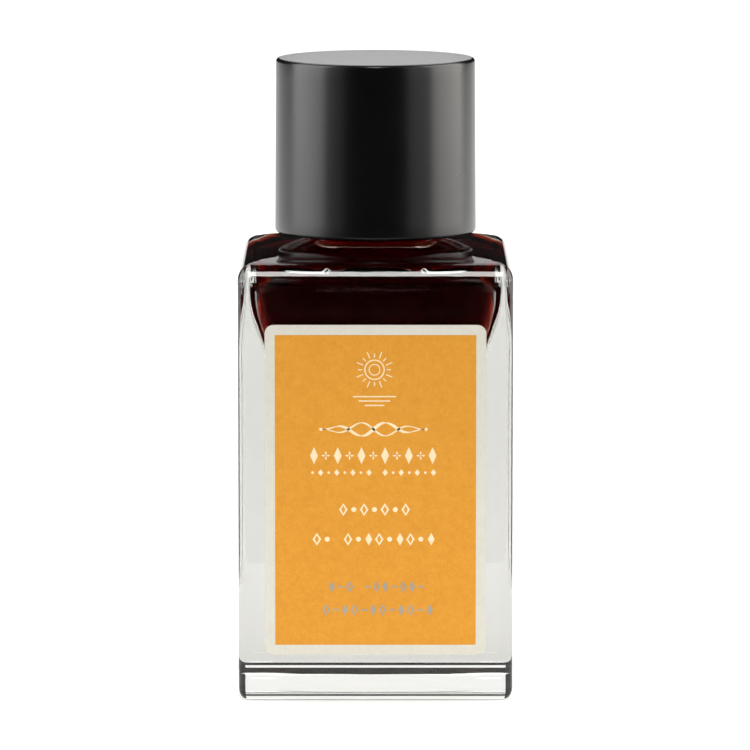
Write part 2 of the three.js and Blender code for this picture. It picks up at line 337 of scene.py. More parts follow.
@dataclass(frozen=True)
class UncoatedPaper:
    """Uncoated wood-free paper, plain or flooded with one printing ink.

    It is matt, with fibres that lie every way, a mottle where the ink sinks in unevenly, and a
    fine speckle of the paper's tooth.
    """

    name: str
    colour: str
    mottle_colour: str
    fibre_mm: float = 0.22
    fibre_depth_mm: float = 0.012
    fibre_strength: float = 0.45
    mottle_mm: float = 1.6
    mottle_range: Point = (0.7, 1.3)
    roughness: float = 0.82
    index: float = 1.45
    gloss: float = 0.35

    def make(self) -> bpy.types.Material:
        """Builds the paper.

        Returns:
            The material.
        """
        material, tree, out = new_material(self.name)
        place = object_pattern(tree)
        fibres = add_node(
            tree,
            "ShaderNodeTexNoise",
            {
                "Scale": 1 / (self.fibre_mm * MM),
                "Detail": 3.0,
                "Roughness": 0.65,
                "Distortion": 0.6,
            },
            {"Vector": place},
        )
        mottle = add_node(
            tree,
            "ShaderNodeTexNoise",
            {"Scale": 1 / (self.mottle_mm * MM), "Detail": 4.0, "Roughness": 0.75},
            {"Vector": place},
        )
        spread = add_node(
            tree,
            "ShaderNodeMath",
            links={0: fibres.outputs["Fac"], 1: mottle.outputs["Fac"]},
            operation="ADD",
        )
        share = add_node(
            tree,
            "ShaderNodeMapRange",
            {"From Min": self.mottle_range[0], "From Max": self.mottle_range[1]},
            {"Value": spread.outputs["Value"]},
        )
        colour = add_node(
            tree,
            "ShaderNodeMix",
            {6: linear(self.colour), 7: linear(self.mottle_colour)},
            {"Factor": share.outputs["Result"]},
            data_type="RGBA",
        )
        bump = add_node(
            tree,
            "ShaderNodeBump",
            {"Strength": self.fibre_strength, "Distance": self.fibre_depth_mm * MM},
            {"Height": fibres.outputs["Fac"]},
        )
        shader = add_node(
            tree,
            "ShaderNodeBsdfPrincipled",
            {"Roughness": self.roughness, "IOR": self.index, "Specular IOR Level": self.gloss},
            {"Base Color": colour.outputs[2], "Normal": bump.outputs["Normal"]},
        )
        tree.links.new(shader.outputs["BSDF"], out.inputs["Surface"])
        return material


@dataclass(frozen=True)
class StampedFoil:
    """Hot-stamped silver foil on paper.

    It is a grey metal film that takes the paper's tooth, so it shines in patches.
    """

    colour: str = "#B9AF9F"
    roughness: float = 0.42
    roughness_change: float = 0.1
    tooth_mm: float = 0.25
    tooth_depth_mm: float = 0.01
    tooth_strength: float = 0.4

    def make(self) -> bpy.types.Material:
        """Builds the foil.

        Returns:
            The material.
        """
        material, tree, out = new_material("stamped_silver_foil")
        place = object_pattern(tree)
        tooth = add_node(
            tree,
            "ShaderNodeTexNoise",
            {"Scale": 1 / (self.tooth_mm * MM), "Detail": 2.0},
            {"Vector": place},
        )
        roughness = add_node(
            tree,
            "ShaderNodeMapRange",
            {
                "To Min": self.roughness - self.roughness_change,
                "To Max": self.roughness + self.roughness_change,
            },
            {"Value": tooth.outputs["Fac"]},
        )
        bump = add_node(
            tree,
            "ShaderNodeBump",
            {"Strength": self.tooth_strength, "Distance": self.tooth_depth_mm * MM},
            {"Height": tooth.outputs["Fac"]},
        )
        shader = add_node(
            tree,
            "ShaderNodeBsdfPrincipled",
            {"Base Color": linear(self.colour), "Metallic": 1.0},
            {"Roughness": roughness.outputs["Result"], "Normal": bump.outputs["Normal"]},
        )
        tree.links.new(shader.outputs["BSDF"], out.inputs["Surface"])
        return material


@dataclass(frozen=True)
class ClosedCellFoam:
    """White closed-cell polyethylene foam.

    It is matt, and pitted with cut cells a third of a millimetre wide.
    """

    colour: str = "#F1EFE9"
    roughness: float = 0.85
    cell_mm: float = 0.35
    cell_depth_mm: float = 0.05
    cell_strength: float = 0.6

    def make(self) -> bpy.types.Material:
        """Builds the foam.

        Returns:
            The material.
        """
        material, tree, out = new_material("closed_cell_foam")
        place = object_pattern(tree)
        cells = add_node(
            tree,
            "ShaderNodeTexVoronoi",
            {"Scale": 1 / (self.cell_mm * MM)},
            {"Vector": place},
            feature="F1",
        )
        bump = add_node(
            tree,
            "ShaderNodeBump",
            {"Strength": self.cell_strength, "Distance": self.cell_depth_mm * MM},
            {"Height": cells.outputs["Distance"]},
            invert=True,
        )
        shader = add_node(
            tree,
            "ShaderNodeBsdfPrincipled",
            {"Base Color": linear(self.colour), "Roughness": self.roughness},
            {"Normal": bump.outputs["Normal"]},
        )
        tree.links.new(shader.outputs["BSDF"], out.inputs["Surface"])
        return material


@dataclass(frozen=True)
class OpalAcrylic:
    """The studio's floor: matt opal acrylic that is lit from below, as on a light table."""

    colour: str = "#F4F4F3"
    glow: float = 0.3
    roughness: float = 0.95
    gloss: float = 0.1
    stipple_mm: float = 2.5
    stipple_depth_mm: float = 0.05
    stipple_strength: float = 0.05

    def make(self) -> bpy.types.Material:
        """Builds the acrylic.

        Returns:
            The material.
        """
        material, tree, out = new_material("opal_acrylic")
        place = object_pattern(tree)
        stipple = add_node(
            tree,
            "ShaderNodeTexNoise",
            {"Scale": 1 / (self.stipple_mm * MM), "Detail": 2.0},
            {"Vector": place},
        )
        bump = add_node(
            tree,
            "ShaderNodeBump",
            {"Strength": self.stipple_strength, "Distance": self.stipple_depth_mm * MM},
            {"Height": stipple.outputs["Fac"]},
        )
        shader = add_node(
            tree,
            "ShaderNodeBsdfPrincipled",
            {
                "Base Color": linear(self.colour),
                "Roughness": self.roughness,
                "Specular IOR Level": self.gloss,
                "Emission Color": linear(self.colour),
                "Emission Strength": self.glow,
            },
            {"Normal": bump.outputs["Normal"]},
        )
        tree.links.new(shader.outputs["BSDF"], out.inputs["Surface"])
        return material


# ---------------------------------------------------------------------------
# Outlines and shells
# ---------------------------------------------------------------------------


class Profile:
    """An outline of half widths and heights in millimetres, drawn stretch by stretch."""

    def __init__(self, half: float, height: float) -> None:
        """Starts the outline.

        Args:
            half: Half width where it starts.
            height: Height where it starts.
        """
        self.points: list[Point] = [(half, height)]

    def line(self, half: float, height: float, steps: int = 1) -> "Profile":
        """Draws a straight stretch.

        Args:
            half: Half width at its end.
            height: Height at its end.
            steps: Number of parts that it is cut into.

        Returns:
            This outline.
        """
        start_half, start_height = self.points[-1]
        for step in range(1, steps + 1):
            share = step / steps
            across = start_half + (half - start_half) * share
            self.points.append((across, start_height + (height - start_height) * share))
        return self

    def arc(self, centre: Point, radii: Point, start: float, end: float, steps: int) -> "Profile":
        """Draws a stretch of an ellipse.

        Args:
            centre: Half width and height of its centre.
            radii: Its two radii.
            start: Angle where it starts, in degrees from the outward direction.
            end: Angle where it ends.
            steps: Number of parts.

        Returns:
            This outline.
        """
        for step in range(steps + 1):
            angle = math.radians(start + (end - start) * step / steps)
            point = (centre[0] + radii[0] * math.cos(angle), centre[1] + radii[1] * math.sin(angle))
            if math.dist(point, self.points[-1]) > SAME_PLACE:
                self.points.append(point)
        return self

    def bend(self, controls: Sequence[Point], end: Point, steps: int) -> "Profile":
        """Draws a Bezier stretch with one or two control points.

        Args:
            controls: The control points.
            end: Where it ends.
            steps: Number of parts.

        Returns:
            This outline.
        """
        knots = [self.points[-1], *controls, end]
        for step in range(1, steps + 1):
            share = step / steps
            level = knots
            while len(level) > 1:
                level = [
                    (a[0] + (b[0] - a[0]) * share, a[1] + (b[1] - a[1]) * share)
                    for a, b in zip(level, level[1:])
                ]
            self.points.append(level[0])
        return self


def inset(points: Sequence[Point], distance: float) -> list[Point]:
    """Moves an outline sideways, to the right of the way it runs.

    Args:
        points: The outline.
        distance: How far, in millimetres.

    Returns:
        The moved outline.
    """
    moved = []
    for index, (half, height) in enumerate(points):
        before = points[max(index - 1, 0)]
        after = points[min(index + 1, len(points) - 1)]
        along = Vector((after[0] - before[0], after[1] - before[1])).normalized()
        moved.append((half + along.y * distance, height - along.x * distance))
    return moved


def finish_mesh(shape: bmesh.types.BMesh, name: str, smooth: bool = True) -> bpy.types.Object:
    """Turns a bmesh drawn in millimetres into an object of the scene, in metres.

    Args:
        shape: The bmesh, which is freed.
        name: Name of the piece.
        smooth: Whether its faces are shaded smoothly.

    Returns:
        The object, at the origin.
    """
    bmesh.ops.recalc_face_normals(shape, faces=shape.faces[:])
    bmesh.ops.scale(shape, vec=(MM, MM, MM), verts=shape.verts[:])
    for face in shape.faces:
        face.smooth = smooth
    mesh = bpy.data.meshes.new(name)
    shape.to_mesh(mesh)
    shape.free()
    piece = bpy.data.objects.new(name, mesh)
    bpy.context.scene.collection.objects.link(piece)
    return piece


class RingShell:
    """A closed shell that is extruded ring by ring from a circle of edges."""

    def __init__(self, count: int) -> None:
        """Starts with a circle of edges.

        Args:
            count: Number of its edges.
        """
        self.shape = bmesh.new()
        self.wet = self.shape.verts.layers.float.new(WET_LAYER)
        circle = bmesh.ops.create_circle(self.shape, cap_ends=False, radius=1.0, segments=count)
        self.ring: list[bmesh.types.BMVert] = list(circle["verts"])
        self.edges: list[bmesh.types.BMEdge] = list(self.shape.edges)
        self.first_edges = list(self.edges)
        self.placed = False

    def add(self, points: Iterable[Vector], wet: float = 0.0) -> None:
        """Extrudes the last ring and moves the new one to the given points.

        Args:
            points: Places of the ring's vertices, in order.
            wet: 1 where glass and ink touch, 0 elsewhere.
        """
        if self.placed:
            grown = bmesh.ops.extrude_edge_only(self.shape, edges=self.edges)["geom"]
            fresh = {item for item in grown if isinstance(item, bmesh.types.BMVert)}
            self.edges = [
                item for item in grown
                if isinstance(item, bmesh.types.BMEdge) and set(item.verts) <= fresh
            ]
            self.ring = [
                next(e.other_vert(v) for e in v.link_edges if e.other_vert(v) in fresh)
                for v in self.ring
            ]
        for vertex, point in zip(self.ring, points):
            vertex.co = point
            vertex[self.wet] = wet
        self.placed = True

    def close(self, name: str) -> bpy.types.Object:
        """Caps both ends and makes the piece.

        Args:
            name: Name of the piece.

        Returns:
            The object.
        """
        bmesh.ops.contextual_create(self.shape, geom=self.first_edges)
        bmesh.ops.contextual_create(self.shape, geom=self.edges)
        return finish_mesh(self.shape, name)


def turn_profile(points: Sequence[Point], name: str, steps: int = 160) -> bpy.types.Object:
    """Spins an outline that starts and ends on the axis into a round piece.

    Args:
        points: Radii and heights in millimetres.
        name: Name of the piece.
        steps: Facets in a full turn.

    Returns:
        The object.
    """
    shape = bmesh.new()
    verts = [shape.verts.new((radius, 0.0, height)) for radius, height in points]
    edges = [shape.edges.new(pair) for pair in zip(verts, verts[1:])]
    bmesh.ops.spin(
        shape,
        geom=[*verts, *edges],
        cent=(0.0, 0.0, 0.0),
        axis=(0.0, 0.0, 1.0),
        angle=2 * math.pi,
        steps=steps,
        use_merge=True,
    )
    bmesh.ops.remove_doubles(shape, verts=shape.verts[:], dist=WELD)
    return finish_mesh(shape, name)


def dress(
    piece: bpy.types.Object,
    material: bpy.types.Material,
    body: str,
    replaces: Sequence[str] = (),
) -> None:
    """Gives a piece its material, its body and the solids that it stands for.

    Args:
        piece: The piece.
        material: Its finish.
        body: Body that it rides on.
        replaces: Names of the solids that it replaces.
    """
    piece.data.materials.clear()
    piece.data.materials.append(material)
    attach(piece, body)
    if replaces:
        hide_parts(*replaces)
    LOG.info("%s: %d faces, rides on %s", piece.name, len(piece.data.polygons), body)


# ---------------------------------------------------------------------------
# Screw thread
# ---------------------------------------------------------------------------


@dataclass(frozen=True)
class ScrewThread:
    """A right-hand moulded thread, as how far it stands off a round wall.

    Attributes:
        start: Height of its lower end, in millimetres.
        turns: Its length in turns.
        height: How far its crest stands off the wall.
        pitch: Climb in one turn, at twelve turns to the inch.
        root: Width at the wall.
        crest: Width at the crest.
        runout: Turns over which it rises at each end.
    """

    start: float
    turns: float
    height: float
    pitch: float = 25.4 / 12
    root: float = 1.0
    crest: float = 0.5
    runout: float = 0.12

    def relief(self, angle: float, height: float) -> float:
        """Gives how far the thread stands off the wall at a place.

        Args:
            angle: Direction from the axis, in radians from 0 to a full turn.
            height: Height in millimetres.

        Returns:
            The relief in millimetres.
        """
        turn = angle / (2 * math.pi)
        nearest = round((height - self.start) / self.pitch - turn)
        along = turn + nearest
        if along < 0 or along > self.turns:
            return 0.0
        offset = abs(height - self.start - along * self.pitch)
        flank = (self.root - self.crest) / 2
        share = min(max((self.root / 2 - offset) / flank, 0.0), 1.0)
        ends = min(along, self.turns - along) / self.runout
        return self.height * share * share * (3 - 2 * share) * min(max(ends, 0.0), 1.0)


# ---------------------------------------------------------------------------
# Glass bottle and ink
# ---------------------------------------------------------------------------


def rounded_rectangle(angle: float, half_x: float, half_y: float, corner: float) -> Vector:
    """A point on a rectangle with round corners, in a direction from its middle.

    Args:
        angle: The direction, in radians.
        half_x: Half its width.
        half_y: Half its depth.
        corner: Radius of its corners.

    Returns:
        The point, at height zero.
    """
    dx, dy = abs(math.cos(angle)), abs(math.sin(angle))
    corner_x, corner_y = half_x - corner, half_y - corner
    if half_x * dy <= corner_y * dx:
        reach = half_x / dx
    elif half_y * dx <= corner_x * dy:
        reach = half_y / dy
    else:
        along = dx * corner_x + dy * corner_y
        rest = corner_x**2 + corner_y**2 - corner**2
        reach = along + math.sqrt(max(along**2 - rest, 0.0))
    return Vector((reach * math.cos(angle), reach * math.sin(angle), 0.0))


def superellipse(angle: float, half_x: float, half_y: float, exponent: float) -> Vector:
    """A point on a superellipse, in a direction from its middle.

    Args:
        angle: The direction, in radians.
        half_x: Half its width.
        half_y: Half its depth.
        exponent: 2 for an ellipse, higher for a squarer form.

    Returns:
        The point, at height zero.
    """
    x = abs(math.cos(angle) / half_x) ** exponent
    y = abs(math.sin(angle) / half_y) ** exponent
    reach = (x + y) ** (-1 / exponent)
    return Vector((reach * math.cos(angle), reach * math.sin(angle), 0.0))


def box_mm(node: str) -> tuple[Vector, Vector]:
    """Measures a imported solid.

    Args:
        node: Name of the solid.

    Returns:
        Its lowest and highest corners, in millimetres.
    """
    low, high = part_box(node)
    return low / MM, high / MM


@dataclass
class GlassBottle:
    """The square flacon with its thick base, rolled shoulder, threaded neck and soft hollow.

    All sizes are in millimetres, and the turn of the rolled shoulder is in degrees.
    """

    shoulder_height: float = 45.0
    corner_radius: float = 1.0
    shoulder_radius: float = 2.0
    shoulder_turn: float = 86.0
    dome_rise: float = 1.0
    heel_height: float = 1.2
    heel_inset: float = 0.8
    foot_width: float = 2.6
    push_up: float = 0.3
    push_up_flat: float = 0.6
    base_thickness: float = 10.0
    wall: float = 3.0
    upper_wall: float = 1.1
    shoulder_thickness: float = 2.2
    floor_radius: float = 3.4
    roof_radius: float = 1.6
    roof_rise: float = 0.5
    throat_radius: float = 1.5
    thinning_depth: float = 10.0
    squareness: float = 7.0
    neck_radius: float = 6.35
    neck_fillet: float = 0.7
    bore_radius: float = 4.45
    lip_radius: float = 0.4
    thread_height: float = 0.95
    thread_turns: float = 2.0
    thread_below_lip: float = 1.5
    corner_facets: int = 12
    flat_facets: int = 22
    half_x: float = field(init=False)
    half_y: float = field(init=False)
    lip: float = field(init=False)
    stations: list[float] = field(init=False)

    def __post_init__(self) -> None:
        """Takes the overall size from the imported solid."""
        low, high = box_mm("glass_bottle")
        self.half_x = (high.x - low.x) / 2
        self.half_y = (high.y - low.y) / 2
        self.lip = high.z
        self.stations = self.directions()

    @property
    def hollow_roof(self) -> float:
        """Height of the hollow's roof at its rounded edge, in millimetres."""
        return self.shoulder_height + self.dome_rise / 2 - self.shoulder_thickness

    @property
    def throat_top(self) -> float:
        """Height where the throat becomes the straight bore, in millimetres."""
        return self.hollow_roof + self.roof_rise + self.throat_radius

    def directions(self) -> list[float]:
        """Directions of the shell's vertices, close together at the upright corners.

        Returns:
            Angles in radians, from 0 to a full turn.
        """
        corner = self.corner_radius
        first = math.atan2(self.half_y - corner, self.half_x)
        last = math.atan2(self.half_y, self.half_x - corner)
        half = self.flat_facets // 2
        quarter = [first * step / half for step in range(half)]
        for step in range(self.corner_facets + 1):
            turn = math.pi / 2 * step / self.corner_facets
            x = self.half_x - corner + corner * math.cos(turn)
            y = self.half_y - corner + corner * math.sin(turn)
            quarter.append(math.atan2(y, x))
        quarter += [last + (math.pi / 2 - last) * step / half for step in range(1, half)]
        mirrored = [math.pi - angle for angle in reversed(quarter[1:])]
        upper = [*quarter, math.pi / 2, *mirrored]
        return [*upper, *(angle + math.pi for angle in upper)]

    def outer_ring(self, half: float, height: float, thread: ScrewThread) -> list[Vector]:
        """One outer ring: square at the walls, round at the neck, with the thread on the neck.

        Args:
            half: Half width.
            height: Height.
            thread: The neck's thread.

        Returns:
            The ring's points.
        """
        dome_edge = self.half_x - self.shoulder_radius
        round_edge = self.neck_radius + self.neck_fillet
        roundness = min(max((dome_edge - half) / (dome_edge - round_edge), 0.0), 1.0)
        depth = half + (self.half_y - self.half_x) * (1 - roundness)
        roll = min(self.half_x - half, self.shoulder_radius)
        edge_corner = max(self.corner_radius - roll, self.corner_radius / 4)
        corner = edge_corner + (min(half, depth) - edge_corner) * roundness
        ring = []
        for angle in self.stations:
            on_neck = half <= self.neck_radius + SAME_PLACE
            relief = thread.relief(angle, height) if on_neck else 0.0
            point = rounded_rectangle(angle, half + relief, depth + relief, corner + relief)
            ring.append(point + Vector((0.0, 0.0, height)))
        return ring

    def outer_profile(self, thread: ScrewThread) -> list[Point]:
        """Draws the outside from the middle of the underside up to the lip's crown.

        Args:
            thread: The neck's thread.

        Returns:
            The outline.
        """
        half = self.half_x
        neck = self.neck_radius
        standing = half - self.heel_inset
        hollow_edge = standing - self.foot_width
        foot = neck + self.neck_fillet
        neck_foot = self.shoulder_height + self.dome_rise
        shoulder_z = self.shoulder_height - self.shoulder_radius
        heel = (self.heel_inset, self.heel_height)
        roll_centre = (half - self.shoulder_radius, shoulder_z)
        dome_bend = ((half + foot) / 2, neck_foot - self.dome_rise / 4)
        push_up_bend = (hollow_edge * self.push_up_flat, self.push_up)
        outline = Profile(POLE, self.push_up)
        outline.bend([push_up_bend], (hollow_edge, 0.0), steps=12)
        outline.line(standing, 0.0, steps=3)
        outline.arc((standing, self.heel_height), heel, -90, 0, steps=10)
        outline.line(half, shoulder_z, steps=12)
        outline.arc(roll_centre, (self.shoulder_radius,) * 2, 0, self.shoulder_turn, steps=12)
        outline.bend([dome_bend], (foot, neck_foot), steps=16)
        outline.bend([(neck, neck_foot)], (neck, neck_foot + self.neck_fillet), steps=6)
        low = thread.start - thread.root
        high = thread.start + thread.turns * thread.pitch + thread.root
        outline.line(neck, low, steps=4)
        outline.line(neck, high, steps=66)
        outline.line(neck, self.lip - self.lip_radius, steps=2)
        crown = (neck - self.lip_radius, self.lip - self.lip_radius)
        outline.arc(crown, (self.lip_radius,) * 2, 0, 90, steps=6)
        return outline.points

    def hollow_profile(self) -> list[Point]:
        """Draws the inside from the top of the bore down to the middle of the hollow's floor.

        Returns:
            The outline.
        """
        wall = self.half_x - self.wall
        upper = self.half_x - self.upper_wall
        roof_top = self.hollow_roof + self.roof_rise
        throat = self.bore_radius + self.throat_radius
        roof_edge = upper - self.roof_radius
        roof_bend = ((throat + roof_edge) / 2, self.hollow_roof + self.roof_rise / 2)
        roof_centre = (roof_edge, self.hollow_roof - self.roof_radius)
        low = self.hollow_roof - self.roof_radius - self.thinning_depth
        middle = low + self.thinning_depth / 2
        floor = self.base_thickness
        floor_centre = (wall - self.floor_radius, floor + self.floor_radius)
        outline = Profile(self.bore_radius, self.lip - self.lip_radius)
        outline.line(self.bore_radius, self.throat_top, steps=12)
        outline.bend([(self.bore_radius, roof_top)], (throat, roof_top), steps=10)
        outline.bend([roof_bend], (roof_edge, self.hollow_roof), steps=10)
        outline.arc(roof_centre, (self.roof_radius,) * 2, 90, 0, steps=14)
        outline.bend([(upper, middle), (wall, middle)], (wall, low), steps=12)
        outline.line(wall, floor + self.floor_radius, steps=14)
        outline.arc(floor_centre, (self.floor_radius,) * 2, 0, -90, steps=14)
        outline.line(POLE, floor, steps=8)
        return outline.points

    def squareness_at(self, height: float) -> float:
        """Gives how square the hollow is: fully in the body, fading to round in the throat.

        Args:
            height: Height in millimetres.

        Returns:
            The superellipse's exponent, 2 where it is round.
        """
        fade = (self.throat_top - height) / (self.throat_top - self.hollow_roof)
        return 2 + (self.squareness - 2) * min(max(fade, 0.0), 1.0)

    def hollow_ring(self, half: float, height: float) -> list[Vector]:
        """One ring of the hollow, at a half width and a height.

        Args:
            half: Half width.
            height: Height.

        Returns:
            The ring's points.
        """
        reach = (half - self.bore_radius) / (self.half_x - self.wall - self.bore_radius)
        depth = half + (self.half_y - self.half_x) * min(max(reach, 0.0), 1.0)
        exponent = self.squareness_at(height)
        rise = Vector((0.0, 0.0, height))
        return [superellipse(angle, half, depth, exponent) + rise for angle in self.stations]

    def build(self, film_top: float) -> bpy.types.Object:
        """Makes the bottle in one closed shell, from its underside over the lip to its floor.

        Args:
            film_top: Height up to which ink wets the inside.

        Returns:
            The bottle.
        """
        start = self.lip - self.thread_below_lip - self.thread_turns * ScrewThread.pitch
        thread = ScrewThread(start, self.thread_turns, self.thread_height)
        shell = RingShell(len(self.stations))
        for half, height in self.outer_profile(thread):
            shell.add(self.outer_ring(half, height, thread))
        mouth = Profile(self.bore_radius + self.lip_radius, self.lip)
        crown = (self.bore_radius + self.lip_radius, self.lip - self.lip_radius)
        mouth.arc(crown, (self.lip_radius,) * 2, 90, 180, steps=6)
        for half, height in mouth.points:
            shell.add(self.hollow_ring(half, height))
        for half, height in self.hollow_profile()[1:]:
            shell.add(self.hollow_ring(half, height), wet=float(height <= film_top))
        return shell.close("glass_flacon")


@dataclass
class InkFill:
    """The ink in the hollow, with its meniscus and the film that it leaves above its surface.

    Its skin lies a hair off the glass wall, too close to be seen. All sizes are in millimetres;
    the meniscus leaves the film at a share of its rise.
    """

    bottle: GlassBottle
    gap: float = 0.004
    film: float = 0.03
    film_top: float = 57.0
    meniscus_rise: float = 0.45
    meniscus_reach: float = 1.5
    meniscus_foot: float = 0.4
    meniscus_share: float = 0.4

    def build(self) -> bpy.types.Object:
        """Makes the ink in one closed shell.

        Returns:
            The ink.
        """
        surface = box_mm("ink")[1].z
        wall = [point for point in self.bottle.hollow_profile() if point[1] <= self.film_top]
        outer = inset(wall, self.gap)
        inner = [
            point for point in inset(wall, self.film)
            if point[1] > surface + self.meniscus_rise
        ]
        edge = inner[-1][0]
        pool = Profile(*inner[-1])
        controls = [
            (edge, surface + self.meniscus_rise * self.meniscus_share),
            (edge - self.meniscus_foot, surface),
        ]
        pool.bend(controls, (edge - self.meniscus_reach, surface), steps=8)
        pool.line(POLE, surface, steps=8)
        shell = RingShell(len(self.bottle.stations))
        for half, height in reversed(outer):
            shell.add(self.bottle.hollow_ring(half, height), wet=1.0)
        for half, height in [*inner, *pool.points[1:]]:
            shell.add(self.bottle.hollow_ring(half, height))
        return shell.close("ink_fill")


# ---------------------------------------------------------------------------
# Label
# ---------------------------------------------------------------------------


class Mark(Enum):
    """Plain shapes that the label's ornament is set from."""

    DASH = "dash"
    DISC = "disc"
    LOZENGE = "lozenge"
    FRAME = "hollow lozenge"
    CROSS = "cross of four petals"


@dataclass(frozen=True)
class OrnamentRow:
    """One row of printed shapes, repeated at even steps.

    Attributes:
        centre: Height of the row's middle, in millimetres.
        height: Height of its shapes.
        left: Where it starts.
        right: Where it ends.
        step: Distance from shape to shape.
        shapes: The shapes, in turn.
        stroke: Width of their lines.
        gaps: Places in the row, counted from 0, that stay empty.
    """

    centre: float
    height: float
    left: float
    right: float
    step: float
    shapes: tuple[Mark, ...]
    stroke: float
    gaps: tuple[int, ...] = ()


def standing_at(centre: Point) -> tuple[Matrix, Matrix]:
    """Gives the matrices for a flat upright shape in the plane of the label.

    Args:
        centre: Its middle, across and up.

    Returns:
        The matrix that stands it up in its place, and the space about its middle to scale it in.
    """
    across, up = centre
    upright = Matrix.Translation((across, 0.0, up)) @ Matrix.Rotation(math.pi / 2, 4, "X")
    return upright, Matrix.Translation((-across, 0.0, -up))


def flat_sheet(
    shape: bmesh.types.BMesh, centre: Point, size: Point, corner: float, segments: int = 6
) -> None:
    """Adds an upright rectangle with round corners, in the plane of the label.

    Args:
        shape: The bmesh that gets it.
        centre: Its middle, across and up.
        size: Its width and height.
        corner: Radius of its corners.
        segments: Facets in each corner.
    """
    place, middle = standing_at(centre)
    grid = bmesh.ops.create_grid(shape, x_segments=1, y_segments=1, size=0.5, matrix=place)
    verts = grid["verts"]
    bmesh.ops.scale(shape, vec=(size[0], 1.0, size[1]), space=middle, verts=verts)
    if corner > 0:
        bmesh.ops.bevel(
            shape,
            geom=verts,
            offset=corner,
            offset_type="OFFSET",
            affect="VERTICES",
            segments=segments,
            profile=0.5,
            material=-1,
        )


def ring_mark(
    shape: bmesh.types.BMesh, centre: Point, radii: Point, stroke: float, segments: int = 24
) -> None:
    """Adds a flat upright ring.

    Args:
        shape: The bmesh that gets it.
        centre: Its middle, across and up.
        radii: Its outer radii, across and up.
        stroke: Width of its line.
        segments: Facets around it.
    """
    place, middle = standing_at(centre)
    circle = bmesh.ops.create_circle(
        shape, cap_ends=False, radius=1.0, segments=segments, matrix=place
    )
    verts = circle["verts"]
    bmesh.ops.scale(shape, vec=(radii[0], 1.0, radii[1]), space=middle, verts=verts)
    edges = list({edge for vertex in verts for edge in vertex.link_edges})
    grown = bmesh.ops.extrude_edge_only(shape, edges=edges)["geom"]
    inner = [item for item in grown if isinstance(item, bmesh.types.BMVert)]
    shrink = (1 - stroke / radii[0], 1.0, 1 - stroke / radii[1])
    bmesh.ops.scale(shape, vec=shrink, space=middle, verts=inner)


def disc_mark(shape: bmesh.types.BMesh, centre: Point, radii: Point, segments: int) -> None:
    """Adds a flat upright disc, or a lozenge with four segments.

    Args:
        shape: The bmesh that gets it.
        centre: Its middle, across and up.
        radii: Its radii, across and up.
        segments: Corners around it.
    """
    place, middle = standing_at(centre)
    circle = bmesh.ops.create_circle(
        shape, cap_ends=True, radius=1.0, segments=segments, matrix=place
    )
    bmesh.ops.scale(shape, vec=(radii[0], 1.0, radii[1]), space=middle, verts=circle["verts"])


def thicken(shape: bmesh.types.BMesh, front: float, thickness: float) -> None:
    """Gives flat upright faces a thickness and sets their front in place.

    Args:
        shape: The bmesh of flat faces at depth 0.
        front: Depth of the front, in millimetres.
        thickness: How far the back lies behind it.
    """
    bmesh.ops.translate(shape, vec=(0.0, front, 0.0), verts=shape.verts[:])
    grown = bmesh.ops.extrude_face_region(shape, geom=shape.faces[:])["geom"]
    moved = [item for item in grown if isinstance(item, bmesh.types.BMVert)]
    bmesh.ops.translate(shape, vec=(0.0, thickness, 0.0), verts=moved)


@dataclass(frozen=True)
class SunEmblem:
    """A small sun over three waves, for the head of the label.

    Attributes:
        height: Height of the sun's middle, in millimetres.
        rings: Radius, line width and facets of each of its rings.
        rays: Number of its rays.
        ray_start: How far from its middle they start.
        ray_lengths: Their two lengths, in turn.
        ray_width: Their width.
        waves: Height and half length of each wave.
        wave_width: Width of the waves.
        wave_corner: Radius of their ends.
    """

    height: float = 34.1
    rings: tuple[tuple[float, float, int], ...] = ((1.05, 0.13, 32), (0.6, 0.1, 24))
    rays: int = 16
    ray_start: float = 1.25
    ray_lengths: Point = (0.42, 0.7)
    ray_width: float = 0.11
    waves: tuple[Point, ...] = ((31.35, 2.2), (30.9, 1.6), (30.45, 1.0))
    wave_width: float = 0.13
    wave_corner: float = 0.05

    def print_on(self, shape: bmesh.types.BMesh, axis: float) -> None:
        """Adds the emblem's flat shapes.

        Args:
            shape: The bmesh that gets them.
            axis: Where the label's middle line lies across.
        """
        for radius, stroke, segments in self.rings:
            ring_mark(shape, (axis, self.height), (radius, radius), stroke, segments)
        for index in range(self.rays):
            start = len(shape.verts)
            length = self.ray_lengths[index % 2]
            middle = (axis, self.height + self.ray_start + length / 2)
            flat_sheet(shape, middle, (self.ray_width, length), 0.0)
            shape.verts.ensure_lookup_table()
            bmesh.ops.rotate(
                shape,
                cent=(axis, 0.0, self.height),
                matrix=Matrix.Rotation(2 * math.pi * index / self.rays, 3, "Y"),
                verts=shape.verts[start:],
            )
        for level, half in self.waves:
            flat_sheet(shape, (axis, level), (2 * half, self.wave_width), self.wave_corner, 2)


